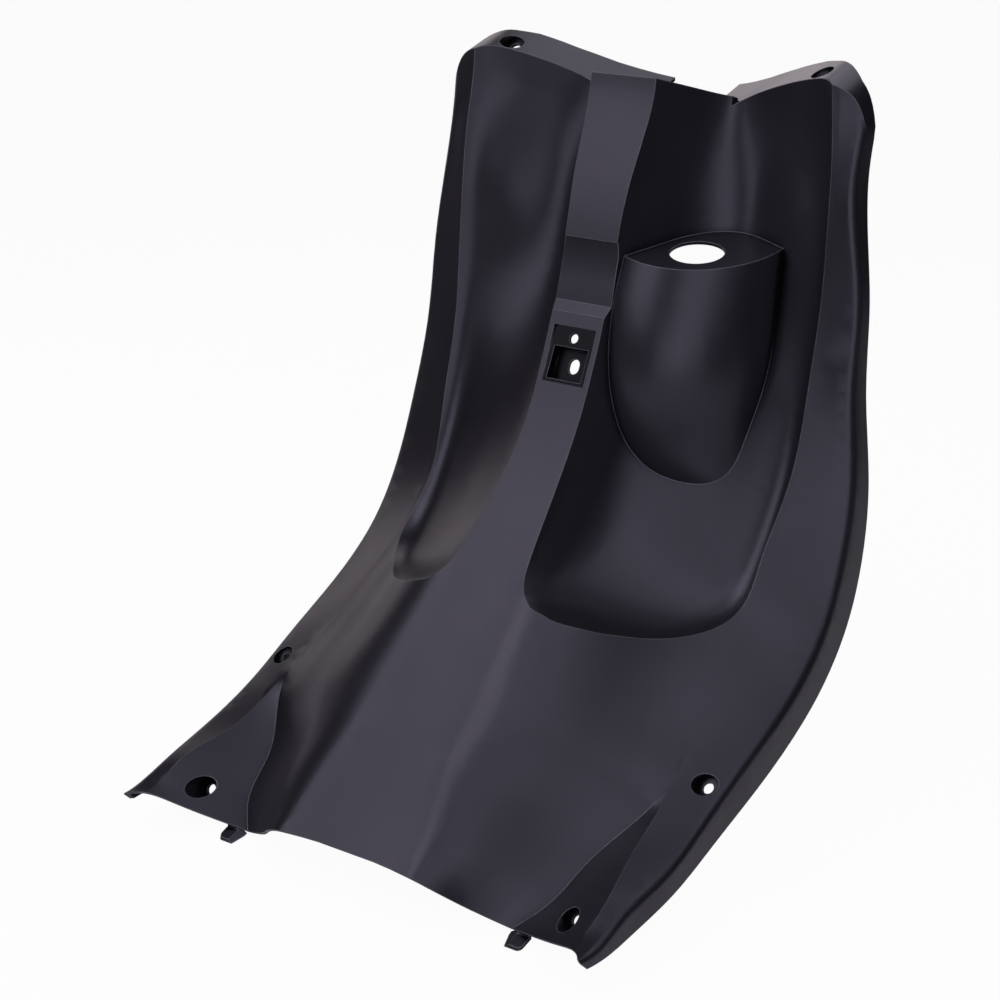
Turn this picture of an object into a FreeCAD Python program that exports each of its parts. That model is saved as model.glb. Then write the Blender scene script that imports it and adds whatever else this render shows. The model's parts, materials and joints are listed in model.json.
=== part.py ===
import FreeCAD, Part
import math
import os

# Inner leg shield of a step-through scooter, one injection-moulded shell.
# Millimetres, +Z up, +X to the right of the rider's view, -Y towards the rider.

# Driving dimensions
WIDTH = 408.0            # over the widest part of the rim
SWEEP = 500.0            # distance from the sweep axis to the rim at knee height
WALL = 2.5               # moulded wall
RIM_RADIUS = 5.0         # rounding between rim band and side flange
FLANGE = 20.0            # depth of the side flange at mid height
COLUMN_GAP = 56.0        # opening in the top band for the steering column
POD_RADIUS = 69.0
POD_HOLE = 39.5
POD_HOLE_AT = (67.5, 146.0)
SCREW_SEAT = 17.0        # counterbore for a screw head
SCREW_HOLE = 8.0
HOOK_WIDTH = 36.0
HOOK_HEIGHT = 42.0
HOOK_TRAY = 3.0          # depth of the shallow tray around the hook
HOOK_SOCKET = 29.0
HOOK_SOCKET_HEIGHT = 24.0
HOOK_RIM = 3.0           # from the lower end of the tray to the socket
HOOK_DEPTH = 11.0
HOOK_REACH = 14.0        # how far the hook tools stand out of the spine
TAB_WIDTH = 16.0
TAB_X = 123.5

# The form is swept round an axis parallel to X, in front of the rider's knees.
AXIS_Y = -330.0
AXIS_Z = 160.0
KX = WIDTH / 408.0
KR = SWEEP / 500.0
BACK = 130.0             # how far the solid forms reach behind the rim
FRONT = 150.0            # how far the pocket tools reach in front of the floor
FAR = 260.0              # half width past the whole part, for tools that cut across it
ARC_MIDDLE = 0.293       # where a quarter arc crosses the diagonal of its corner

# Skin stations: angle, centre r, half width of the centre, valley x r slope, pad x r, rim x r
SKIN = [
    (18.0, 522, 31, 150, 533, 0.35, 156, 535, 174, 541),
    (13.5, 494, 29, 151, 522, 0.28, 157, 523, 174.5, 528),
    (9.0, 472, 27, 153, 512, 0.20, 159, 513, 175, 517),
    (0.0, 440, 25, 156, 498, 0.10, 162, 498.5, 182, 500),
    (-7.0, 427, 25, 155, 495, 0.15, 161, 496, 187, 499),
    (-13.0, 417, 24, 153, 493, 0.22, 159, 494.5, 191, 502),
    (-19.0, 406.5, 24, 150, 491, 0.36, 156, 493, 198, 507.5),
    (-25.0, 393, 26, 148, 486, 0.42, 154, 488.5, 201, 508),
    (-30.0, 382.5, 28, 148, 472, 0.55, 154, 475, 203, 502),
    (-35.0, 374.5, 30, 150, 454, 0.58, 156, 457, 204, 486),
    (-41.0, 368, 32, 157, 441, 0.50, 162, 443.5, 203, 461),
    (-47.0, 366, 34, 165, 431, 0.45, 168, 432.5, 201, 442),
    (-53.0, 367, 36, 152, 428, 0.50, 170.5, 422, 201, 427.5),
    (-58.5, 372.5, 41, 137, 428, 0.50, 177, 409.5, 200, 413),
    (-64.0, 382, 48, 121, 430.5, 0.50, 183, 401, 198.5, 402),
    (-69.0, 393, 55, 107, 436, 0.50, 188.5, 394, 196, 392),
    (-74.0, 406, 60, 98, 445, 0.50, 193, 389, 195, 383),
]

# Knee pocket stations: angle, column wall foot, then floor points x r out to past the border
POCKET = [
    (18.0, (29, 522, 48, 566, 60, 577, 84, 573, 110, 563, 132, 552, 146, 541, 160, 526)),
    (12.0, (26.3, 486, 46, 538, 59, 553, 84, 549, 108, 541, 131, 533, 146, 524, 158, 513)),
    (6.0, (24, 459.5, 43, 509, 58, 531, 83, 536, 108, 527, 131, 518, 148, 511.5, 160, 501)),
    (0.0, (22, 440, 41, 486, 56, 508, 80, 519.5, 106, 514, 130, 507, 149, 503, 162, 493)),
    (-6.0, (22, 428.5, 39, 471, 54, 493, 79, 504.5, 106, 505, 130, 503, 148, 500, 162, 490)),
    (-12.0, (22, 418.5, 39, 459, 54, 478, 79, 489, 106, 494, 129, 497, 146, 498, 161, 487)),
    (-18.0, (22, 408.5, 39, 446, 54, 463, 78, 475, 105, 485, 128, 492, 144, 496, 160, 485)),
    (-24.0, (24, 395.5, 40, 428, 54, 446, 77, 460, 103, 474, 126, 484, 142, 489, 157, 481)),
    (-29.0, (27, 384.5, 40, 409, 54, 427, 75, 443, 99, 459, 120, 471, 136, 478, 154, 474)),
    (-33.0, (31, 378, 41, 392, 54, 406, 71, 420, 90, 434, 108, 445, 122, 451, 138, 450)),
    (-36.0, (44, 374, 51, 378, 59, 384, 68, 390, 78, 396, 88, 402, 97, 406, 108, 406)),
    (-38.5, (54, 362, 59, 365, 65, 368, 71, 371, 78, 375, 85, 379, 91, 383, 99, 384)),
    (-43.0, (56, 330, 60, 331, 65, 332, 71, 333, 78, 334, 84, 335, 89, 336, 94, 337)),
]

# Side flange depth below the rim: angle, share of FLANGE. The trim starts inside the flange.
FLANGE_INSIDE = 9.0
FLANGE_OUTSIDE = 40.0
FLANGE_STATIONS = [
    (22.0, 0.78), (5.0, 0.75), (-9.0, 0.9), (-19.0, 1.3), (-28.0, 1.65),
    (-38.0, 1.6), (-50.0, 1.25), (-60.0, 1.0), (-66.0, 0.7), (-76.0, 0.4),
]

# Front view of the top edge at y = TOP_REF_Y, from the middle outwards
TOP_EDGE = [(0, 236), (28, 245), (65, 262), (93, 276), (123, 288.5), (139, 294)]
TOP_CORNER = [(139, 294), (154, 293.5), (166, 285), (173, 271), (176.5, 250)]
TOP_REF_Y = 224.0
TOP_SLOPE = 0.30

# Steering column spine, side view y z of the recess across it
SPINE_STEP = [(112.3, 165.5), (111.8, 155.5), (102.6, 120.5), (93.9, 111.8)]
SPINE_TOP = (151.0, 277.0)
SPINE_TOP_SLOPE = -0.30
SPINE_HALF = 56.0
SPINE_REAR = 217.0
SPINE_LOW = 60.0
SPINE_LIFT = 80.0        # keeps the inner form above the top edge, open for the column
STEP_HALF = 25.5
STEP_FRONT = (40.0, 60.0)

# Rear edge of the top band in plan, from the column gap outwards
BAND_REAR = [(28, 268), (65, 247), (93, 234), (123, 224), (149, 209), (163, 200), (176, 198), (FAR, 198)]
BAND_BOTTOM = 226.0
BAND_REACH = 460.0
GAP_FRONT = 190.0

# Screw seats on the right half: point near the skin, outward axis, depth
SEATS = [
    ((132.0, 199.0, 285.0), (0.0, -0.66, 0.75), 6.5),
    ((186.0, -23.0, -158.0), (0.0, -0.74, 0.68), 6.5),
    ((159.6, -149.0, -209.0), (0.0, -0.866, 0.5), 13.0),
]

# Middle of the hook recess on the spine, side view y z, and the run of the face there
HOOK_AT = (82.6, 86.2)
HOOK_RUN = (19.5, 40.5)

# Hook screw holes: across, along the face from the recess middle, width, height
HOOK_HOLES = [(0.0, 13.0, 7.2, 7.2), (1.0, -6.0, 8.8, 11.2)]

# Foot tabs, side view from the edge of the skin, y z, and the skin's normal there
TAB_AT = (-151.3, -229.0)
TAB_PROFILE = [(0.3, 3.0), (0.5, -2.0), (-9.5, -5.6), (-10.2, -7.8), (3.0, -4.4), (3.2, 3.0)]
TAB_ROUNDING = 3.5
PAD_NORMAL = (-0.434, -0.349, 0.831)

# Lower edge, a slanted plane in side view, and its line across: half width, offset square to the plane
FOOT_EDGE = (-178.0, -202.0)
FOOT_SLOPE = -0.865
FOOT_LINE = [
    (24, 3.0), (42, 2.0), (60, 0.4), (80, -1.4), (94, -2.0), (108, -2.4), (124, -3.0), (150, -4.2),
    (170, -4.5), (184, -5.6), (190, -8.0), (196, -12.5), (204, -16.5), (240, -20.0),
]

# Pod: height, centre x y of the round body
POD = [
    (190.0, 48.5, 193.0), (157.0, 49.0, 182.0), (95.0, 50.4, 162.0), (66.0, 50.0, 160.0),
    (33.0, 48.5, 165.0), (5.0, 55.0, 174.0), (-20.0, 60.0, 188.0), (-45.0, 64.0, 205.0),
]
LEDGE_POINT = (25.6, 112.8, 154.9)
LEDGE_NORMAL = (0.06, -0.18, 1.0)

V = FreeCAD.Vector


def polar(angle, x, r):
    a = math.radians(angle)
    return V(x, AXIS_Y + r * math.cos(a), AXIS_Z + r * math.sin(a))


def radial(angle):
    a = math.radians(angle)
    return V(0, math.cos(a), math.sin(a))


def spline(points):
    curve = Part.BSplineCurve()
    curve.interpolate(points)
    return curve.toShape()


def normals(grid, angles):
    # Unit normals of a grid of points, turned into the material; end rows stay in their plane.
    rows = len(grid)
    result = []
    for i in range(rows):
        line = []
        for j in range(len(grid[i])):
            up = grid[min(i + 1, rows - 1)][j] - grid[max(i - 1, 0)][j]
            across = grid[i][min(j + 1, len(grid[i]) - 1)] - grid[i][max(j - 1, 0)]
            n = across.cross(up)
            if i in (0, rows - 1):
                a = math.radians(angles[i])
                n = n - V(0, -math.sin(a), math.cos(a)) * n.dot(V(0, -math.sin(a), math.cos(a)))
            n.normalize()
            if n.dot(radial(angles[i])) < 0:
                n = n * -1
            line.append(n)
        result.append(line)
    return result


def skin_row(station):
    # Flat centre, a flank that rises in an S to the valley, the screw pad's strip and the rim.
    angle, centre, half, vx, vr, slope, px, pr, wx, wr = station
    points = [polar(angle, 0, centre * KR), polar(angle, half * KX, centre * KR)]
    for u in (0.2, 0.4, 0.6, 0.8):
        h01 = 10 * u ** 3 - 15 * u ** 4 + 6 * u ** 5
        h11 = 7 * u ** 4 - 4 * u ** 3 - 3 * u ** 5
        r = centre + (vr - centre) * h01 + (vx - half) * slope * h11
        points.append(polar(angle, (half + (vx - half) * u) * KX, r * KR))
    points.append(polar(angle, vx * KX, vr * KR))
    points.append(polar(angle, px * KX, pr * KR))
    points.append(polar(angle, wx * KX, wr * KR))
    return points


def mirrored(p):
    return V(-p.x, p.y, p.z)


def skin_solid(inset):
    angles = [s[0] for s in SKIN]
    grid = [skin_row(s) for s in SKIN]
    turned = normals(grid, angles)
    wires = []
    for i, angle in enumerate(angles):
        moved = [p + n * inset for p, n in zip(grid[i], turned[i])]
        moved[0].x = 0
        pad = moved[-2]
        rim = moved[-1]
        edge_x = grid[i][-1].x - inset
        rim = pad + (rim - pad) * ((edge_x - pad.x) / (rim.x - pad.x))
        rho = RIM_RADIUS - inset * 0.7
        out = radial(angle)
        along = (pad - rim).normalize()
        start = rim + along * rho
        end = rim + out * rho
        middle = rim + (along + out) * (rho * ARC_MIDDLE)
        depth = (BACK + inset * 4) * KR
        back = rim + out * depth
        right = [moved[1], moved[2], moved[3], moved[4], moved[5], moved[6]]
        edges = [Part.makeLine(mirrored(moved[1]), moved[1])]
        edges.append(spline(right))
        edges.append(Part.makeLine(moved[6], pad))
        edges.append(Part.makeLine(pad, start))
        edges.append(Part.Arc(start, middle, end).toShape())
        edges.append(Part.makeLine(end, back))
        edges.append(Part.makeLine(back, mirrored(back)))
        edges.append(Part.makeLine(mirrored(back), mirrored(end)))
        edges.append(Part.Arc(mirrored(end), mirrored(middle), mirrored(start)).toShape())
        edges.append(Part.makeLine(mirrored(start), mirrored(pad)))
        edges.append(Part.makeLine(mirrored(pad), mirrored(moved[6])))
        edges.append(spline([mirrored(p) for p in reversed(right)]))
        wires.append(Part.Wire(edges))
    return Part.makeLoft(wires, True, False, False, 3)


def pocket_tool(inset):
    angles = [s[0] for s in POCKET]
    grid = []
    for angle, flat in POCKET:
        grid.append([polar(angle, flat[k] * KX, flat[k + 1] * KR) for k in range(0, 16, 2)])
    turned = normals(grid, angles)
    wires = []
    for i, angle in enumerate(angles):
        floor = [p + n * inset for p, n in zip(grid[i], turned[i])]
        front = radial(angle) * (-FRONT * KR)
        first = floor[0] + front
        last = floor[-1] + front + V(20, 0, 0)
        foot = floor[0] + (floor[1] - floor[0]) * 0.8
        edges = [Part.makeLine(floor[0], foot), spline([foot] + floor[1:])]
        edges.append(Part.makeLine(floor[-1], last))
        edges.append(Part.makeLine(last, first))
        edges.append(Part.makeLine(first, floor[0]))
        wires.append(Part.Wire(edges))
    return Part.makeLoft(wires, True, False, False, 3)


def prism(points, direction):
    face = Part.Face(Part.makePolygon(points + [points[0]]))
    return face.extrude(direction)


def cap_solid(inset):
    # Everything under the top edge, swept straight back with a slight rise.
    shift = -inset * 1.05
    top = [V(x * KX, 0, z + shift) for x, z in TOP_EDGE]
    corner = [V(x * KX - inset, 0, z + shift) for x, z in TOP_CORNER]
    corner[0] = top[-1]
    wide = V(FAR * KX, 0, corner[-1].z)
    low = V(FAR * KX, 0, -500)
    edges = [spline(top), spline(corner)]
    edges.append(Part.makeLine(corner[-1], wide))
    edges.append(Part.makeLine(wide, low))
    edges.append(Part.makeLine(low, mirrored(low)))
    edges.append(Part.makeLine(mirrored(low), mirrored(wide)))
    edges.append(Part.makeLine(mirrored(wide), mirrored(corner[-1])))
    edges.append(spline([mirrored(p) for p in reversed(corner)]))
    edges.append(spline([mirrored(p) for p in reversed(top)]))
    face = Part.Face(Part.Wire(edges))
    start = -300.0
    length = 800.0
    face.translate(V(0, start, (start - TOP_REF_Y) * TOP_SLOPE))
    return face.extrude(V(0, length, length * TOP_SLOPE))


def round_tool(point, axis, radius, start, end):
    # Cylinder from start to end along the axis, counted from the point.
    return Part.makeCylinder(radius, end - start, point + axis * start, axis)


def scaled(point):
    return V(point[0] * KX, AXIS_Y + (point[1] - AXIS_Y) * KR, AXIS_Z + (point[2] - AXIS_Z) * KR)


def side_prism(profile, half_width):
    points = [V(-half_width, AXIS_Y + (y - AXIS_Y) * KR, AXIS_Z + (z - AXIS_Z) * KR) for y, z in profile]
    return prism(points, V(2 * half_width, 0, 0))


def spine_block(inset):
    y0, z0 = SPINE_TOP
    rear = SPINE_REAR - inset
    lift = SPINE_LIFT if inset > 0 else 0.0
    front_top = z0 + (0.0 - y0) * SPINE_TOP_SLOPE + lift
    rear_top = z0 + (rear - y0) * SPINE_TOP_SLOPE + lift
    profile = [(0.0, SPINE_LOW), (rear, SPINE_LOW), (rear, rear_top), (0.0, front_top)]
    return side_prism(profile, SPINE_HALF * KX - inset)


def step_tool(inset):
    profile = [(y + inset * 1.05, z) for y, z in SPINE_STEP]
    profile.append((STEP_FRONT[0], SPINE_STEP[-1][1]))
    profile.append((STEP_FRONT[1], SPINE_STEP[0][1]))
    return side_prism(profile, STEP_HALF * KX - inset)


def hook_frame():
    # Middle of the hook recess on the spine, with the directions along and out of the face.
    along = V(0, HOOK_RUN[0], HOOK_RUN[1])
    along.normalize()
    out = V(0, -along.z, along.y)
    return scaled((0, HOOK_AT[0], HOOK_AT[1])), along, out


def hook_box(width, low, high, depth, inset):
    middle, along, out = hook_frame()
    half = width / 2 + inset
    corners = []
    for x, v in ((-half, low - inset), (half, low - inset), (half, high + inset), (-half, high + inset)):
        corners.append(middle + V(x, 0, 0) + along * v - out * (depth + inset))
    return prism(corners, out * (depth + inset + HOOK_REACH))


def hook_tools(inset):
    half = HOOK_HEIGHT / 2
    low = HOOK_RIM - half
    tray = hook_box(HOOK_WIDTH, -half, half, HOOK_TRAY, inset)
    socket = hook_box(HOOK_SOCKET, low, low + HOOK_SOCKET_HEIGHT, HOOK_DEPTH, inset)
    return [tray, socket]


def pod_solid(inset):
    wires = []
    for z, x, y in POD:
        centre = scaled((x, y, z))
        circle = Part.makeCircle(POD_RADIUS - inset, centre, V(0, 0, 1))
        wires.append(Part.Wire([circle]))
    body = Part.makeLoft(wires, True, False, False, 3)
    normal = V(*LEDGE_NORMAL)
    normal.normalize()
    point = scaled(LEDGE_POINT) - normal * inset
    face = Part.makePlane(600, 600, point - V(300, 300, 0), V(0, 0, 1))
    face.rotate(point, V(0, 0, 1).cross(normal), math.degrees(V(0, 0, 1).getAngle(normal)))
    return body.cut(face.extrude(normal * 200))


def form(inset):
    body = skin_solid(inset)
    pocket = pocket_tool(inset)
    body = body.cut([pocket, pocket.mirror(V(0, 0, 0), V(1, 0, 0))])
    body = body.common(cap_solid(inset).fuse(spine_block(inset)))
    body = body.fuse(pod_solid(inset))
    return body.cut([step_tool(inset)] + hook_tools(inset))


def foot_cut():
    # Everything past the lower edge, which is higher over the centre than at the sides.
    middle = scaled((0, FOOT_EDGE[0], FOOT_EDGE[1]))
    square = V(0, -FOOT_SLOPE, 1.0)
    square.normalize()
    line = [middle + V(x * KX, 0, 0) + square * (offset * KR) for x, offset in FOOT_LINE]
    low = line[-1] - square * 300.0
    edges = [Part.makeLine(mirrored(line[0]), line[0]), spline(line)]
    edges.append(Part.makeLine(line[-1], low))
    edges.append(Part.makeLine(low, mirrored(low)))
    edges.append(Part.makeLine(mirrored(low), mirrored(line[-1])))
    edges.append(spline([mirrored(p) for p in reversed(line)]))
    face = Part.Face(Part.Wire(edges))
    slant = V(0, 1.0, FOOT_SLOPE)
    face.translate(slant * -200.0)
    return face.extrude(slant * 600.0)


def rim_at(angle):
    # Radius and half width of the rim between two skin stations.
    for low, high in zip(SKIN[1:], SKIN[:-1]):
        if angle >= low[0]:
            break
    share = (angle - low[0]) / (high[0] - low[0])
    x = low[8] + (high[8] - low[8]) * share
    r = low[9] + (high[9] - low[9]) * share
    return r, x


def flange_trim(side):
    wires = []
    for angle, share in FLANGE_STATIONS:
        r, x = rim_at(angle)
        near = (r + FLANGE * share) * KR
        far = (r + BACK + 60) * KR
        inner = x * KX - FLANGE_INSIDE
        outer = x * KX + FLANGE_OUTSIDE
        corners = [(inner, near), (outer, near), (outer, far), (inner, far)]
        points = [polar(angle, side * cx, cr) for cx, cr in corners]
        wires.append(Part.makePolygon(points + [points[0]]))
    return Part.makeLoft(wires, True, False, False, 3)


def top_trim():
    # Everything behind the top band and in the column gap.
    gap = COLUMN_GAP / 2
    plan = [(gap, GAP_FRONT), (gap, BAND_REAR[0][1])] + [(x * KX, y) for x, y in BAND_REAR[1:]]
    plan.append((FAR * KX, BAND_REACH))
    right = [V(x, AXIS_Y + (y - AXIS_Y) * KR, BAND_BOTTOM) for x, y in plan]
    return prism(right + [mirrored(p) for p in reversed(right)], V(0, 0, 260))


def seat_point(body, point, axis):
    # Where the axis meets the skin of the solid form.
    line = Part.makeLine(point + axis * 40, point - axis * 40)
    ends = [v.Point for v in line.common(body).Vertexes]
    return max(ends, key=lambda p: p.dot(axis))


def seats(body):
    cups = []
    bores = []
    for place, direction, depth in SEATS:
        axis = V(*direction)
        axis.normalize()
        point = seat_point(body, scaled(place), axis)
        cup = round_tool(point, axis, SCREW_SEAT / 2 + WALL, -depth - WALL, SCREW_SEAT)
        seat = round_tool(point, axis, SCREW_SEAT / 2, -depth, SCREW_SEAT)
        bore = round_tool(point, axis, SCREW_HOLE / 2, -depth - 3 * WALL, 0.0)
        for tool, group in ((cup, cups), (seat.fuse(bore), bores)):
            group.append(tool)
            group.append(tool.mirror(V(0, 0, 0), V(1, 0, 0)))
    return cups, bores


def hook_bores():
    # Round at both ends, with straight sides where the height is larger than the width.
    middle, along, out = hook_frame()
    depth = HOOK_DEPTH + 4 * WALL
    tools = []
    for x, v, width, height in HOOK_HOLES:
        centre = middle + V(x, 0, 0) + along * v - out * (HOOK_DEPTH + 2 * WALL)
        lift = along * ((height - width) / 2)
        tools.append(Part.makeCylinder(width / 2, depth, centre + lift, out))
        if height > width:
            side = V(width / 2, 0, 0)
            corners = [centre - side - lift, centre + side - lift, centre + side + lift, centre - side + lift]
            tools.append(Part.makeCylinder(width / 2, depth, centre - lift, out))
            tools.append(prism(corners, out * depth))
    return tools


def pod_bore():
    normal = V(*LEDGE_NORMAL)
    normal.normalize()
    point = scaled(LEDGE_POINT)
    x = POD_HOLE_AT[0] * KX
    y = AXIS_Y + (POD_HOLE_AT[1] - AXIS_Y) * KR
    z = point.z - (normal.x * (x - point.x) + normal.y * (y - point.y)) / normal.z
    return round_tool(V(x, y, z), normal, POD_HOLE / 2, -3 * WALL, 10.0)


def tab(side):
    # The upper end is cut off inside the wall, the plate's front corners are rounded.
    at = scaled((TAB_X, TAB_AT[0], TAB_AT[1]))
    at.x = side * at.x
    points = [at + V(-TAB_WIDTH / 2, y, z) for y, z in TAB_PROFILE]
    block = prism(points, V(TAB_WIDTH, 0, 0))
    front = at.y + TAB_PROFILE[2][0] + 0.1
    corners = [e for e in block.Edges if e.BoundBox.YMax < front and e.BoundBox.XLength < 0.1]
    block = block.makeFillet(TAB_ROUNDING, corners)
    normal = V(side * PAD_NORMAL[0], PAD_NORMAL[1], PAD_NORMAL[2])
    normal.normalize()
    return block.cut(round_tool(at, normal, 3 * TAB_WIDTH, -WALL / 3, 2 * TAB_WIDTH))


def leg_shield():
    # The inner form leaves out the screw cups, so that they stay solid inside the outer one.
    outer = form(0.0)
    cups, bores = seats(outer)
    inner = form(WALL).cut(cups)
    shell = outer.cut(foot_cut()).cut(inner)
    shell = shell.cut([flange_trim(1), flange_trim(-1), top_trim()])
    shell = shell.fuse([tab(1), tab(-1)])
    shell = shell.cut(bores + hook_bores() + [pod_bore()])
    return shell


def main():
    os.makedirs("parts", exist_ok=True)
    shell = leg_shield()
    box = shell.optimalBoundingBox(False, False)
    shift = V(0, -(box.YMin + box.YMax) / 2, -box.ZMin)
    shell.translate(shift)
    shell.Solids[0].exportStep("parts/leg_shield.step")
    print("solids", len(shell.Solids), "valid", shell.isValid(), "volume cm3", round(shell.Volume / 1000, 1))
    print("moved by", round(shift.y, 3), round(shift.z, 3))


if __name__ == "__main__":
    main()
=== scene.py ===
import json
import math

import bpy
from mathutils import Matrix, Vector

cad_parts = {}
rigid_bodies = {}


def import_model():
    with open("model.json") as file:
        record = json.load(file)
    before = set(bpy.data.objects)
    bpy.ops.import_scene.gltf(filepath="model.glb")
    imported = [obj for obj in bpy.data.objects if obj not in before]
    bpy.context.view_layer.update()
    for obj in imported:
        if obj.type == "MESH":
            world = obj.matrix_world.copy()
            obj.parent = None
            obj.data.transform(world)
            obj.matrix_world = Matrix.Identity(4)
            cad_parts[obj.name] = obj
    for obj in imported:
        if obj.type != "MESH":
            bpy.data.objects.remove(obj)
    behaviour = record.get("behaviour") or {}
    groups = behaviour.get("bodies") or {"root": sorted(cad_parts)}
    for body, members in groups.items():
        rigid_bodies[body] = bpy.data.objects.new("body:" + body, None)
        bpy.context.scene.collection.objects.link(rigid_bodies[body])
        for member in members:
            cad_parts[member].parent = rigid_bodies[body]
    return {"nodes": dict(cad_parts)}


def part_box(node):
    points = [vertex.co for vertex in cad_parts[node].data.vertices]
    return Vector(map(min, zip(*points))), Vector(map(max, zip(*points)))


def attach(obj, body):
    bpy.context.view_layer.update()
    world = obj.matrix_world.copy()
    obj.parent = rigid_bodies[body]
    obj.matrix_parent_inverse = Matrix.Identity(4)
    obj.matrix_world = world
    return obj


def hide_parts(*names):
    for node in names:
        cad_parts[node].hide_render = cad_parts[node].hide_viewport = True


# A moulded inner leg shield in satin black plastic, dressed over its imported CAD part.
# Metres, in the part's own frame: +Z up, -Y towards the rider, +X to the rider's right.

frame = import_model()

bl_info = {
    "name": "Moulded Leg Shield",
    "version": (1, 0, 0),
    "blender": (4, 5, 0),
    "location": "View3D > Sidebar > Leg Shield",
    "description": "Dresses a scooter's inner leg shield in satin moulded plastic and sets its studio",
    "category": "Object",
}

SHELL_NODE = "leg_shield"
BODY = "root"
FLOOR_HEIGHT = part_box(SHELL_NODE)[0].z
FLOOR_GAP = 0.0005
WELD_DISTANCE = 0.000002

# Middle of the hook tray on the spine's face, and how far the tray reaches along each direction
TRAY_CENTRE = (0.0, 0.04309, 0.3230)
TRAY_UP = (0.0, 0.4338, 0.9010)
TRAY_OUT = (0.0, -0.9010, 0.4338)
TRAY_LIMITS = (
    ((1.0, 0.0, 0.0), -0.0180, 0.0180),
    (TRAY_UP, -0.0210, 0.0210),
    (TRAY_OUT, -0.0200, -0.0006),
)
TRAY_SOFTNESS = 0.0008

# Noise scales, in waves per metre
FLOW_WAVES = 7.0
HANDLING_WAVES = 34.0
PATCH_WAVES = 55.0

# Cosine between the true and the rounded normal where the painted highlight of an edge starts, and where
# it is full
EDGE_TURN = (0.997, 0.95)
# Openness where painted shade starts to darken a place, and where it is fully dark
SHADE_OPENNESS = (0.88, 0.52)
# Depth of painted shade beyond which an edge gets no painted highlight
DEEP_SHADE_LIMITS = (0.75, 1.0)
# Cosine from the line of sight where the mirrored backdrop starts, and where it is full
BACKDROP_LOBE = (0.86, 0.97)

WHITE = (1.0, 1.0, 1.0, 1.0)


# Settings that a user would change

class ShellFinish(bpy.types.PropertyGroup):
    """Colour and surface of the moulded plastic."""

    colour: bpy.props.FloatVectorProperty(
        name="Plastic colour", description="Colour of the dyed plastic", subtype="COLOR",
        size=3, min=0.0, max=1.0, default=(0.0105, 0.0098, 0.0124))
    # Painted highlight: a light grey laid into the colour along crisp edges, for the shine of their
    # rounding
    edge_highlight_colour: bpy.props.FloatVectorProperty(
        name="Highlight colour", description="Greyed colour along handled edges", subtype="COLOR",
        size=3, min=0.0, max=1.0, default=(0.130, 0.126, 0.142))
    sheen_colour: bpy.props.FloatVectorProperty(
        name="Reflection tint", description="Cool tint of what the satin surface reflects",
        subtype="COLOR", size=3, min=0.0, max=1.0, default=(0.83, 0.80, 1.0))
    gloss: bpy.props.FloatProperty(
        name="Reflection level", description="Strength of the surface reflection",
        subtype="FACTOR", min=0.0, max=1.0, default=0.52)
    roughness: bpy.props.FloatProperty(
        name="Roughness", description="Blur of the reflections, before the fine grain",
        subtype="FACTOR", min=0.0, max=1.0, default=0.34)
    flow_contrast: bpy.props.FloatProperty(
        name="Flow contrast", description="How far the bands of the melt differ in tone",
        subtype="FACTOR", min=0.0, max=1.0, default=0.15)
    grain_size: bpy.props.FloatProperty(
        name="Grain size", description="Width of one grain of the tool's fine texture",
        unit="LENGTH", subtype="DISTANCE", min=0.0001, max=0.01, default=0.0006)
    grain_depth: bpy.props.FloatProperty(
        name="Grain depth", description="Depth of the fine texture",
        unit="LENGTH", subtype="DISTANCE", min=0.0, max=0.001, default=0.00003)
    edge_radius: bpy.props.FloatProperty(
        name="Edge radius", description="Rounding that the mould gives to crisp edges",
        unit="LENGTH", subtype="DISTANCE", min=0.0, max=0.005, default=0.0010)
    crease_angle: bpy.props.FloatProperty(
        name="Crease angle", description="Edges flatter than this are shaded smooth",
        unit="ROTATION", subtype="ANGLE", min=0.0, max=math.pi, default=math.radians(24.0))
    # Painted shade in recesses and the hook tray: how far it reaches, how much colour and shine it leaves,
    # and how much of it the tray takes
    shade_reach: bpy.props.FloatProperty(
        name="Shade reach", description="How near a wall has to be to shelter a place",
        unit="LENGTH", subtype="DISTANCE", min=0.0, max=0.1, default=0.012)
    shade_tone: bpy.props.FloatProperty(
        name="Shade tone", description="Share of colour and shine that deep places keep",
        subtype="FACTOR", min=0.0, max=1.0, default=0.10)
    tray_shade: bpy.props.FloatProperty(
        name="Tray shade", description="How much of the shelter tone the hook tray takes",
        subtype="FACTOR", min=0.0, max=1.0, default=0.90)


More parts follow.
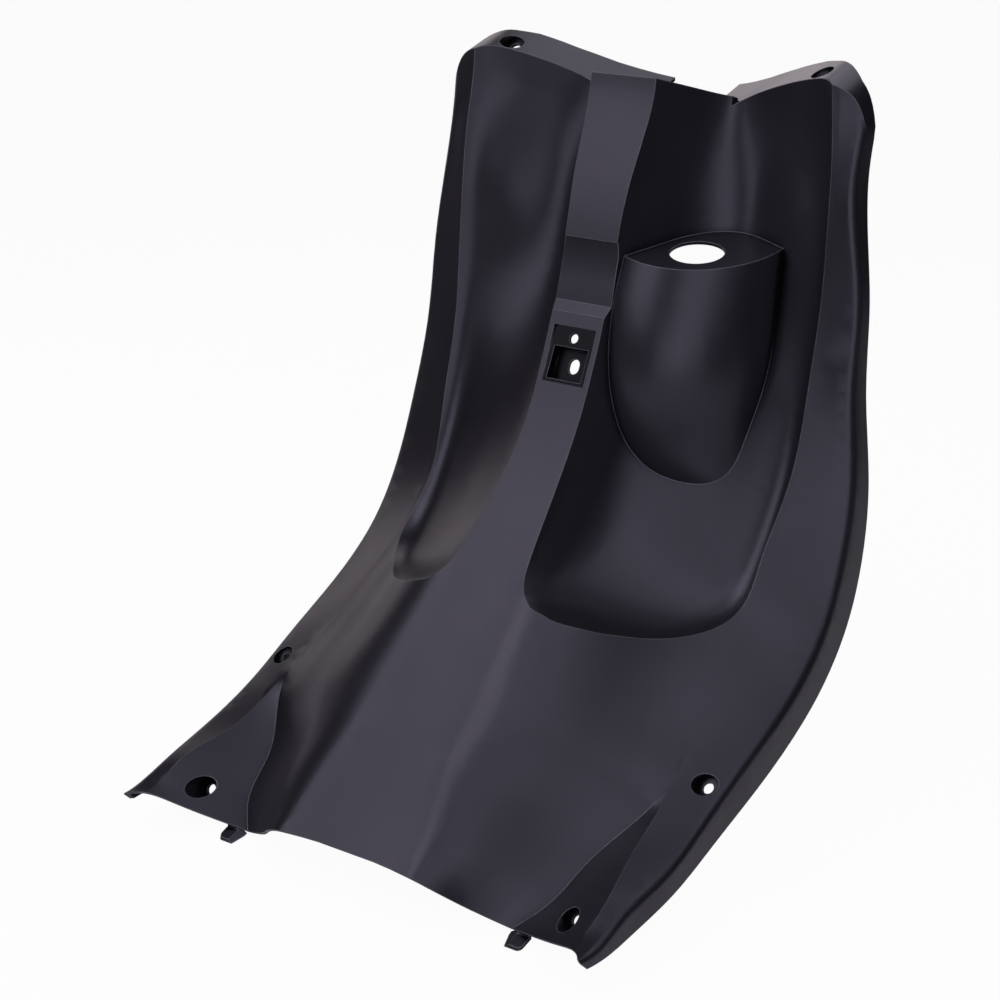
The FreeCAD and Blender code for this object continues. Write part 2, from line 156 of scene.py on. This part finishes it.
class StudioSetup(bpy.types.PropertyGroup):
    """Camera, floor and soft lamps."""

    azimuth: bpy.props.FloatProperty(
        name="Camera azimuth", description="Turn of the camera from the front towards +X",
        unit="ROTATION", subtype="ANGLE", default=math.radians(35.636))
    elevation: bpy.props.FloatProperty(
        name="Camera elevation", description="Height of the camera over the horizon",
        unit="ROTATION", subtype="ANGLE", default=math.radians(19.522))
    distance: bpy.props.FloatProperty(
        name="Camera distance", description="From the camera to the point it looks at",
        unit="LENGTH", subtype="DISTANCE", min=0.1, default=1.540)
    target: bpy.props.FloatVectorProperty(
        name="Camera target", description="Point in the middle of the picture",
        unit="LENGTH", subtype="TRANSLATION", size=3, default=(0.0, -0.03951, 0.2368))
    lens: bpy.props.FloatProperty(
        name="Lens", description="Focal length on a 36 mm sensor", unit="CAMERA", min=1.0, default=79.2)
    floor_size: bpy.props.FloatProperty(
        name="Floor size", description="Side of the square floor",
        unit="LENGTH", subtype="DISTANCE", min=1.0, default=24.0)
    floor_colour: bpy.props.FloatVectorProperty(
        name="Floor colour", description="Pale floor under the shield",
        subtype="COLOR", size=3, min=0.0, max=1.0, default=(0.80, 0.80, 0.80))
    floor_white: bpy.props.FloatProperty(
        name="Floor white", description="Share of plain white in the floor that the camera sees",
        subtype="FACTOR", min=0.0, max=1.0, default=0.96)
    ambient: bpy.props.FloatProperty(
        name="Ambient", description="Level of the room around the lamps", min=0.0, max=2.0, default=0.01)
    lamp_level: bpy.props.FloatProperty(
        name="Lamp level", description="Dims or raises all lamps together", min=0.0, max=4.0, default=1.10)


COOL = (0.95, 0.92, 1.0)
WARM = (1.0, 0.91, 0.95)
LAMP_AIM = Vector((0.0, 0.0, 0.28))

# Soft lamps: name, azimuth and elevation in degrees, distance, width, height, brightness, colour
LAMPS = (
    ("top_softbox", 0.0, 80.0, 1.7, 1.4, 1.4, 0.64, COOL),
    ("high_front_card", 0.0, 55.0, 1.6, 1.0, 0.8, 0.50, COOL),
    ("key_softbox", -45.0, 55.0, 1.6, 1.0, 0.8, 2.20, COOL),
    ("high_right_card", 45.0, 55.0, 1.6, 1.0, 0.8, 0.74, COOL),
    ("high_side_card", 90.0, 55.0, 1.6, 1.0, 0.8, 0.97, COOL),
    ("rear_softbox", 180.0, 55.0, 1.6, 1.0, 0.8, 1.37, COOL),
    ("front_left_softbox", -35.0, 28.0, 1.5, 0.9, 0.65, 1.78, COOL),
    ("front_right_softbox", 35.0, 28.0, 1.5, 0.9, 0.65, 1.22, COOL),
    ("right_card", 70.0, 28.0, 1.5, 0.9, 0.65, 0.75, COOL),
    ("rear_left_softbox", -150.0, 28.0, 1.5, 0.9, 0.65, 1.41, WARM),
    ("low_front_softbox", 15.0, 6.0, 1.5, 0.8, 0.6, 1.30, COOL),
    ("low_right_softbox", 40.0, 6.0, 1.5, 0.8, 0.6, 1.03, COOL),
    ("low_left_card", -110.0, 6.0, 1.5, 0.8, 0.6, 0.62, WARM),
)


# Objects

def make_active(item):
    for other in bpy.context.view_layer.objects:
        other.select_set(False)
    if item is not None:
        item.select_set(True)
        bpy.context.view_layer.objects.active = item


def view_from_front(azimuth, elevation):
    """Direction from the shield to something at this azimuth and elevation, in radians."""
    level = math.cos(elevation)
    return Vector((math.sin(azimuth) * level, -math.cos(azimuth) * level, math.sin(elevation)))


# Nodes

def connect(tree, value, socket):
    """Links an output to a socket, or writes a plain value there."""
    if isinstance(value, bpy.types.NodeSocket):
        tree.links.new(value, socket)
    else:
        socket.default_value = value


def add_node(tree, kind, **values):
    node = tree.nodes.new(kind)
    for key, value in values.items():
        if key in node.inputs:
            connect(tree, value, node.inputs[key])
        else:
            setattr(node, key, value)
    return node


def maths(tree, operation, first, second, clamp=False):
    node = add_node(tree, "ShaderNodeMath", operation=operation, use_clamp=clamp)
    connect(tree, first, node.inputs[0])
    connect(tree, second, node.inputs[1])
    return node.outputs["Value"]


def vector_maths(tree, operation, first, second):
    node = add_node(tree, "ShaderNodeVectorMath", operation=operation)
    connect(tree, first, node.inputs[0])
    connect(tree, second, node.inputs[1])
    return node


def ramp(tree, value, start, end, first, last):
    """Number that runs straight from first to last while the value goes from start to end."""
    node = add_node(tree, "ShaderNodeMapRange", Value=value)
    node.inputs["From Min"].default_value = start
    node.inputs["From Max"].default_value = end
    node.inputs["To Min"].default_value = first
    node.inputs["To Max"].default_value = last
    return node.outputs["Result"]


def mix_colours(tree, share, first, second):
    node = add_node(tree, "ShaderNodeMix", data_type="RGBA")
    connect(tree, share, node.inputs["Factor"])
    connect(tree, first, node.inputs["A"])
    connect(tree, second, node.inputs["B"])
    return node.outputs["Result"]


def mix_shaders(tree, share, first, second):
    node = tree.nodes.new("ShaderNodeMixShader")
    connect(tree, share, node.inputs["Fac"])
    tree.links.new(first, node.inputs[1])
    tree.links.new(second, node.inputs[2])
    return node.outputs["Shader"]


def toned(colour, share):
    """Opaque colour at this share of its strength."""
    return (*(channel * share for channel in colour), 1.0)


def new_group(name, inputs, result):
    """Node group with these vector and float inputs and one number as its result."""
    tree = bpy.data.node_groups.new(name, "ShaderNodeTree")
    for label, kind in inputs:
        tree.interface.new_socket(label, in_out="INPUT", socket_type=kind)
    tree.interface.new_socket(result, in_out="OUTPUT", socket_type="NodeSocketFloat")
    start = tree.nodes.new("NodeGroupInput")
    end = tree.nodes.new("NodeGroupOutput")
    return tree, start.outputs, end.inputs[result]


def place_group(tree, group, *values):
    """Adds a group, gives it its inputs in order and returns its result."""
    node = tree.nodes.new("ShaderNodeGroup")
    node.node_tree = group
    for value, socket in zip(values, node.inputs):
        connect(tree, value, socket)
    return node.outputs[0]


def new_material(name):
    material = bpy.data.materials.new(name)
    material.use_nodes = True
    material.node_tree.nodes.clear()
    output = material.node_tree.nodes.new("ShaderNodeOutputMaterial")
    return material, material.node_tree, output.inputs["Surface"]


# Shared effects, as node groups

def grain_group():
    """Height of the fine spark-eroded texture of the mould."""
    inputs = (("Position", "NodeSocketVector"), ("Scale", "NodeSocketFloat"))
    tree, given, height = new_group("Mould Grain", inputs, "Height")
    coarse = add_node(tree, "ShaderNodeTexNoise", Detail=2.0, Roughness=0.55,
                      Vector=given["Position"], Scale=given["Scale"])
    pits = add_node(tree, "ShaderNodeTexVoronoi", Randomness=1.0,
                    Vector=given["Position"], Scale=given["Scale"])
    shallow_pits = maths(tree, "MULTIPLY", pits.outputs["Distance"], 0.4)
    tree.links.new(maths(tree, "ADD", shallow_pits, coarse.outputs["Fac"]), height)
    return tree


def edge_highlight_group():
    """Mask of the painted highlight along crisp edges, from how far the rounded normal leaves the true
    one, broken into patches.
    """
    inputs = (("Rounded Normal", "NodeSocketVector"), ("Position", "NodeSocketVector"))
    tree, given, mask = new_group("Edge Mask", inputs, "Mask")
    plain = tree.nodes.new("ShaderNodeNewGeometry").outputs["Normal"]
    cosine = vector_maths(tree, "DOT_PRODUCT", plain, given["Rounded Normal"]).outputs["Value"]
    turned = ramp(tree, cosine, *EDGE_TURN, 0.0, 1.0)
    patches = add_node(tree, "ShaderNodeTexNoise", Scale=PATCH_WAVES, Detail=3.0, Roughness=0.6,
                       Vector=given["Position"])
    broken = ramp(tree, patches.outputs["Fac"], 0.35, 0.62, 0.60, 1.0)
    tree.links.new(maths(tree, "MULTIPLY", turned, broken), mask)
    return tree


def painted_shade_group(reach):
    """Mask of painted shade in enclosed places, from ambient occlusion: screw seats, hook tray and inner
    corners.
    """
    tree, _, mask = new_group("Shade Mask", (), "Mask")
    shelter = add_node(tree, "ShaderNodeAmbientOcclusion", Distance=reach, samples=8, only_local=True)
    tree.links.new(ramp(tree, shelter.outputs["AO"], *SHADE_OPENNESS, 0.0, 1.0), mask)
    return tree


def tray_group():
    """Mask of the hook tray and socket, where shade is painted: inside their outline and below the face of
    the spine.
    """
    tree, given, mask = new_group("Hook Tray Mask", (("Position", "NodeSocketVector"),), "Mask")
    offset = vector_maths(tree, "SUBTRACT", given["Position"], TRAY_CENTRE).outputs["Vector"]
    inside = 1.0
    for direction, low, high in TRAY_LIMITS:
        reach = vector_maths(tree, "DOT_PRODUCT", offset, direction).outputs["Value"]
        centred = maths(tree, "SUBTRACT", reach, (low + high) / 2)
        away = maths(tree, "ABSOLUTE", centred, 0.0)
        half = (high - low) / 2
        within = ramp(tree, away, half, half - TRAY_SOFTNESS, 0.0, 1.0)
        inside = maths(tree, "MULTIPLY", inside, within)
    tree.links.new(inside, mask)
    return tree


# Materials

def plastic_tone(tree, place, finish):
    """Flow of the melt: broad, faint bands. Gives the tone and the bands' own mask."""
    stretched = add_node(tree, "ShaderNodeMapping", Vector=place)
    stretched.inputs["Scale"].default_value = (1.0, 1.0, 0.35)
    flow = add_node(tree, "ShaderNodeTexNoise", Scale=FLOW_WAVES, Detail=4.0, Roughness=0.55,
                    Distortion=0.6, Vector=stretched.outputs["Vector"])
    dark = toned(finish.colour, 1.0 - finish.flow_contrast)
    light = toned(finish.colour, 1.0 + finish.flow_contrast)
    return mix_colours(tree, flow.outputs["Fac"], dark, light), flow.outputs["Fac"]


def painted_shade_mask(tree, place, finish):
    """Painted shade in the recesses and the hook tray. Gives that, and where the shade is deep enough that
    edges get no painted highlight.
    """
    shelter = place_group(tree, painted_shade_group(finish.shade_reach))
    tray = place_group(tree, tray_group(), place)
    # Painted shade in the hook tray
    tray_share = maths(tree, "MULTIPLY", tray, finish.tray_shade)
    deep_shade = ramp(tree, shelter, *DEEP_SHADE_LIMITS, 0.0, 1.0)
    return maths(tree, "MAXIMUM", shelter, tray_share), deep_shade


def satin_roughness(tree, place, flow, finish):
    """Blur of the reflections, with the flow bands and the smudges of handling in it."""
    handling = add_node(tree, "ShaderNodeTexNoise", Scale=HANDLING_WAVES, Detail=5.0, Roughness=0.65,
                        Vector=place)
    blur = ramp(tree, flow, 0.3, 0.7, finish.roughness - 0.02, finish.roughness + 0.025)
    smudge = ramp(tree, handling.outputs["Fac"], 0.35, 0.75, -0.008, 0.016)
    return maths(tree, "ADD", blur, smudge)


def satin_plastic(finish):
    """Dyed black plastic from a lightly textured mould, with painted highlights along its crisp edges and
    painted shade in its recesses.
    """
    material, tree, surface = new_material("satin_black_plastic")
    shader = add_node(tree, "ShaderNodeBsdfPrincipled", IOR=1.5)
    shader.inputs["Specular IOR Level"].default_value = finish.gloss
    tree.links.new(shader.outputs["BSDF"], surface)
    place = tree.nodes.new("ShaderNodeTexCoord").outputs["Object"]

    bevel = add_node(tree, "ShaderNodeBevel", Radius=finish.edge_radius, samples=6)
    rounded = bevel.outputs["Normal"]
    edges = place_group(tree, edge_highlight_group(), rounded, place)
    painted_shade, deep_shade = painted_shade_mask(tree, place, finish)
    # Painted highlight along crisp edges, left out where the painted shade is deep
    painted_highlight = maths(tree, "SUBTRACT", edges, deep_shade, clamp=True)

    tone, flow = plastic_tone(tree, place, finish)
    # Painted shade: the colour darkens towards the shade tone in recesses and the hook tray
    moulded = mix_colours(tree, painted_shade, tone, toned(finish.colour, finish.shade_tone))
    # Painted highlight: the colour is lightened along the crisp edges
    painted_base_colour = mix_colours(tree, painted_highlight, moulded, toned(finish.edge_highlight_colour, 1.0))
    tree.links.new(painted_base_colour, shader.inputs["Base Color"])

    # Painted shade on the reflection: its tint darkens in recesses and the hook tray, but not on the
    # painted edge highlight
    shade_on_shine = maths(tree, "SUBTRACT", painted_shade, painted_highlight, clamp=True)
    open_shine = toned(finish.sheen_colour, 1.0)
    shine = mix_colours(tree, shade_on_shine, open_shine, toned(finish.sheen_colour, finish.shade_tone))
    tree.links.new(shine, shader.inputs["Specular Tint"])
    tree.links.new(satin_roughness(tree, place, flow, finish), shader.inputs["Roughness"])

    grain = place_group(tree, grain_group(), place, 1.0 / finish.grain_size)
    bump = add_node(tree, "ShaderNodeBump", Strength=0.5, Distance=finish.grain_depth,
                    Height=grain, Normal=rounded)
    tree.links.new(bump.outputs["Normal"], shader.inputs["Normal"])
    return material


def pale_floor(studio):
    """Pale matt floor that the camera sees as near white, with the shield's shadow kept."""
    material, tree, surface = new_material("studio_floor")
    matt = add_node(tree, "ShaderNodeBsdfDiffuse", Color=(*studio.floor_colour, 1.0))
    glow = add_node(tree, "ShaderNodeEmission", Strength=1.0, Color=WHITE)
    path = tree.nodes.new("ShaderNodeLightPath").outputs
    seen = maths(tree, "ADD", path["Is Camera Ray"], path["Is Transmission Ray"], clamp=True)
    share = maths(tree, "MULTIPLY", seen, studio.floor_white)
    blend = mix_shaders(tree, share, matt.outputs["BSDF"], glow.outputs["Emission"])
    tree.links.new(blend, surface)
    return material


def backdrop_mask(tree, studio):
    """White backdrop: all round for the camera and through glass, behind the shield in reflections."""
    path = tree.nodes.new("ShaderNodeLightPath").outputs
    outward = tree.nodes.new("ShaderNodeTexCoord").outputs["Generated"]
    sight = -view_from_front(studio.azimuth, studio.elevation)
    cosine = vector_maths(tree, "DOT_PRODUCT", outward, sight).outputs["Value"]
    lobe = ramp(tree, cosine, *BACKDROP_LOBE, 0.0, 1.0)
    mirrored = maths(tree, "MULTIPLY", path["Is Glossy Ray"], lobe)
    seen = maths(tree, "ADD", path["Is Camera Ray"], path["Is Transmission Ray"], clamp=True)
    return maths(tree, "ADD", seen, mirrored, clamp=True)


# Stage

def add_floor(studio):
    make_active(None)
    height = FLOOR_HEIGHT - FLOOR_GAP
    bpy.ops.mesh.primitive_plane_add(size=studio.floor_size, location=(0.0, 0.0, height))
    floor = bpy.context.active_object
    floor.name = "studio_floor"
    floor.data.materials.append(pale_floor(studio))


def add_lamp(name, azimuth, elevation, distance, width, height, brightness, colour):
    """Soft lamp that faces the shield, as bright for its size as the brightness says."""
    data = bpy.data.lights.new(name, "AREA")
    data.shape = "RECTANGLE"
    data.size = width
    data.size_y = height
    data.energy = brightness * math.pi * width * height
    data.color = colour
    lamp = bpy.data.objects.new(name, data)
    bpy.context.scene.collection.objects.link(lamp)
    back = view_from_front(math.radians(azimuth), math.radians(elevation))
    lamp.location = LAMP_AIM + back * distance
    lamp.rotation_euler = back.to_track_quat("Z", "Y").to_euler()
    lamp.visible_camera = False


def add_room(studio):
    world = bpy.data.worlds.new("studio_room")
    world.use_nodes = True
    tree = world.node_tree
    tree.nodes.clear()
    output = tree.nodes.new("ShaderNodeOutputWorld")
    room = add_node(tree, "ShaderNodeBackground", Strength=studio.ambient, Color=WHITE)
    white = add_node(tree, "ShaderNodeBackground", Strength=1.0, Color=WHITE)
    mask = backdrop_mask(tree, studio)
    blend = mix_shaders(tree, mask, room.outputs["Background"], white.outputs["Background"])
    tree.links.new(blend, output.inputs["Surface"])
    bpy.context.scene.world = world


def add_camera(studio):
    data = bpy.data.cameras.new("photo_camera")
    data.lens = studio.lens
    data.sensor_width = 36.0
    data.clip_start = 0.05
    data.clip_end = 60.0
    camera = bpy.data.objects.new("photo_camera", data)
    bpy.context.scene.collection.objects.link(camera)
    back = view_from_front(studio.azimuth, studio.elevation)
    camera.location = Vector(studio.target) + back * studio.distance
    camera.rotation_euler = (-back).to_track_quat("-Z", "Y").to_euler()
    bpy.context.scene.camera = camera


# Operators

class LEGSHIELD_OT_dress_shell(bpy.types.Operator):
    """Copies the moulded shell, joins its facets, shades it smooth and gives it satin plastic"""

    bl_idname = "legshield.dress_shell"
    bl_label = "Dress the Shell"

    def execute(self, context):
        finish = context.scene.leg_shield_finish
        mesh = frame["nodes"][SHELL_NODE].data.copy()
        shell = bpy.data.objects.new("moulded_shell", mesh)
        context.scene.collection.objects.link(shell)
        make_active(shell)
        bpy.ops.object.mode_set(mode="EDIT")
        bpy.ops.mesh.select_all(action="SELECT")
        bpy.ops.mesh.remove_doubles(threshold=WELD_DISTANCE)
        bpy.ops.object.mode_set(mode="OBJECT")
        if mesh.has_custom_normals:
            bpy.ops.mesh.customdata_custom_splitnormals_clear()
        bpy.ops.object.shade_smooth_by_angle(angle=finish.crease_angle)
        mesh.materials.clear()
        mesh.materials.append(satin_plastic(finish))
        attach(shell, BODY)
        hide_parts(SHELL_NODE)
        return {"FINISHED"}


class LEGSHIELD_OT_set_stage(bpy.types.Operator):
    """Adds the pale floor, the soft lamps, the room and the camera"""

    bl_idname = "legshield.set_stage"
    bl_label = "Set the Stage"

    def execute(self, context):
        studio = context.scene.leg_shield_studio
        add_floor(studio)
        for name, azimuth, elevation, distance, width, height, brightness, colour in LAMPS:
            level = brightness * studio.lamp_level
            add_lamp(name, azimuth, elevation, distance, width, height, level, colour)
        add_room(studio)
        add_camera(studio)
        context.scene.view_settings.view_transform = "Standard"
        return {"FINISHED"}


class LEGSHIELD_PT_panel(bpy.types.Panel):
    """Settings and steps of the leg shield"""

    bl_idname = "LEGSHIELD_PT_panel"
    bl_label = "Leg Shield"
    bl_space_type = "VIEW_3D"
    bl_region_type = "UI"
    bl_category = "Leg Shield"

    def draw(self, context):
        layout = self.layout
        for settings in (context.scene.leg_shield_finish, context.scene.leg_shield_studio):
            box = layout.box()
            for name in settings.__annotations__:
                box.prop(settings, name)
        layout.operator("legshield.dress_shell")
        layout.operator("legshield.set_stage")


CLASSES = (
    ShellFinish,
    StudioSetup,
    LEGSHIELD_OT_dress_shell,
    LEGSHIELD_OT_set_stage,
    LEGSHIELD_PT_panel,
)


def register():
    for item in CLASSES:
        bpy.utils.register_class(item)
    bpy.types.Scene.leg_shield_finish = bpy.props.PointerProperty(type=ShellFinish)
    bpy.types.Scene.leg_shield_studio = bpy.props.PointerProperty(type=StudioSetup)


def unregister():
    del bpy.types.Scene.leg_shield_studio
    del bpy.types.Scene.leg_shield_finish
    for item in reversed(CLASSES):
        bpy.utils.unregister_class(item)


def main():
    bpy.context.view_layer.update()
    register()
    bpy.ops.legshield.dress_shell()
    bpy.ops.legshield.set_stage()


if __name__ == "__main__":
    main()
